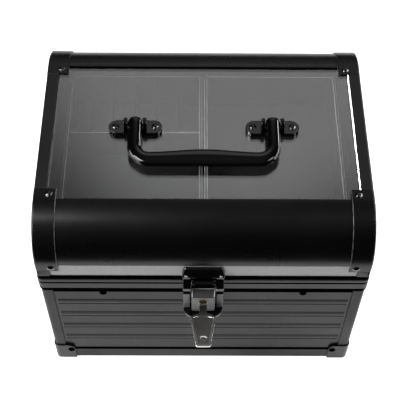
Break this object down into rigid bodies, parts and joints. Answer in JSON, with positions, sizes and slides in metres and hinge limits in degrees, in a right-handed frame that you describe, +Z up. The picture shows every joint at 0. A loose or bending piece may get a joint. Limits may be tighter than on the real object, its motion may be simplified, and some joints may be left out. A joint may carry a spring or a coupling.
{
  "type": "makeup train case",
  "caption": "Lidded cosmetics case with rounded lid edges, a clear top window, a folding handle, a keyed hasp latch and inner trays that rise on swing arms.",
  "frame": {"origin": "centre of the case's footprint, on the plane that it stands on", "axes": "+Z up, the latch and key face -Y, +X to the right of someone facing the latch"},
  "size_m": [0.3056, 0.3053, 0.2423],
  "materials": {
    "beaded_board": "satin beaded laminate",
    "smooth_board": "smooth satin laminate",
    "black_aluminium": "satin black anodised",
    "rim_aluminium": "satin dark grey anodised",
    "black_steel": "semi-gloss black",
    "clear_acrylic": "clear gloss",
    "gloss_black": "gloss moulded",
    "latch_metal": "gloss black plated",
    "nickel": "bright nickel",
    "tray_plastic": "satin moulded"
  },
  "bodies": {
    "base": {"base_floor_panel": "smooth_board", "base_front_panel": "beaded_board", "base_left_panel": "beaded_board", "base_rear_panel": "beaded_board", "base_right_panel": "beaded_board", "base_rim_front": "rim_aluminium", "base_rim_left": "rim_aluminium", "base_rim_rear": "rim_aluminium", "base_rim_right": "rim_aluminium", "base_rivets": "black_steel", "bottom_angles": "black_aluminium", "bottom_corner_front_left": "black_steel", "bottom_corner_front_right": "black_steel", "bottom_corner_rear_left": "black_steel", "bottom_corner_rear_right": "black_steel", "corner_post_front_left": "black_aluminium", "corner_post_front_right": "black_aluminium", "corner_post_rear_left": "black_aluminium", "corner_post_rear_right": "black_aluminium", "hinge_base_leaves": "black_steel", "hinge_pins": "black_steel", "latch_keeper": "latch_metal", "tray_brackets": "black_steel"},
    "lid": {"handle_bracket_left": "gloss_black", "handle_bracket_right": "gloss_black", "handle_pins": "black_steel", "hasp_pin": "black_steel", "hinge_lid_leaves": "black_steel", "latch_lid_plate": "latch_metal", "lid_corner_front_left": "black_steel", "lid_corner_front_right": "black_steel", "lid_corner_rear_left": "black_steel", "lid_corner_rear_right": "black_steel", "lid_front_bullnose": "black_aluminium", "lid_front_panel": "smooth_board", "lid_left_panel": "smooth_board", "lid_rear_bullnose": "black_aluminium", "lid_rear_panel": "smooth_board", "lid_right_panel": "smooth_board", "lid_rim_front": "rim_aluminium", "lid_rim_left": "rim_aluminium", "lid_rim_rear": "rim_aluminium", "lid_rim_right": "rim_aluminium", "lid_rivets": "black_steel", "lid_top_edge_left": "black_aluminium", "lid_top_edge_right": "black_aluminium", "lid_top_panel": "clear_acrylic"},
    "handle": {"handle": "gloss_black"},
    "hasp": {"hasp": "latch_metal"},
    "lock": {"lock_cylinder": "nickel"},
    "key": {"key": "nickel"},
    "left_upper_arms": {"left_upper_arms": "black_steel"},
    "left_lower_arms": {"left_lower_arms": "black_steel"},
    "left_tray": {"left_tray": "tray_plastic"},
    "right_upper_arms": {"right_upper_arms": "black_steel"},
    "right_lower_arms": {"right_lower_arms": "black_steel"},
    "right_tray": {"right_tray": "tray_plastic"}
  },
  "joints": [
    {"name": "lid_hinge", "type": "hinge", "parent": "base", "child": "lid", "pos_m": [0, 0.1258, 0.1575], "axis": [-1, 0, 0], "range_deg": [0, 100]},
    {"name": "handle_swing", "type": "hinge", "parent": "lid", "child": "handle", "pos_m": [0, 0, 0.2368], "axis": [-1, 0, 0], "range_deg": [0, 180]},
    {"name": "hasp_swing", "type": "hinge", "parent": "lid", "child": "hasp", "pos_m": [0, -0.1264, 0.1656], "axis": [-1, 0, 0], "range_deg": [0, 95]},
    {"name": "lock_turn", "type": "hinge", "parent": "hasp", "child": "lock", "pos_m": [0, -0.131, 0.1384], "axis": [0, 1, 0], "range_deg": [0, 90]},
    {"name": "key_pull", "type": "slide", "parent": "lock", "child": "key", "axis": [0, -1, 0], "range_m": [0, 0.02]},
    {"name": "left_upper_arms_swing", "type": "hinge", "parent": "base", "child": "left_upper_arms", "pos_m": [-0.1, 0, 0.152], "axis": [0, -1, 0], "range_deg": [0, 40]},
    {"name": "left_lower_arms_swing", "type": "hinge", "parent": "base", "child": "left_lower_arms", "pos_m": [-0.086, 0, 0.14], "axis": [0, -1, 0], "range_deg": [0, 40]},
    {"name": "left_tray_level", "type": "hinge", "parent": "left_upper_arms", "child": "left_tray", "pos_m": [-0.04, 0, 0.152], "axis": [0, -1, 0], "range_deg": [-40, 0]},
    {"name": "right_upper_arms_swing", "type": "hinge", "parent": "base", "child": "right_upper_arms", "pos_m": [0.1, 0, 0.152], "axis": [0, 1, 0], "range_deg": [0, 40]},
    {"name": "right_lower_arms_swing", "type": "hinge", "parent": "base", "child": "right_lower_arms", "pos_m": [0.086, 0, 0.14], "axis": [0, 1, 0], "range_deg": [0, 40]},
    {"name": "right_tray_level", "type": "hinge", "parent": "right_upper_arms", "child": "right_tray", "pos_m": [0.04, 0, 0.152], "axis": [0, 1, 0], "range_deg": [-40, 0]}
  ],
  "couplings": [
    {"joint": "left_upper_arms_swing", "follows": "lid_hinge", "ratio": 0.4},
    {"joint": "left_lower_arms_swing", "follows": "lid_hinge", "ratio": 0.4},
    {"joint": "left_tray_level", "follows": "lid_hinge", "ratio": -0.4},
    {"joint": "right_upper_arms_swing", "follows": "lid_hinge", "ratio": 0.4},
    {"joint": "right_lower_arms_swing", "follows": "lid_hinge", "ratio": 0.4},
    {"joint": "right_tray_level", "follows": "lid_hinge", "ratio": -0.4}
  ]
}
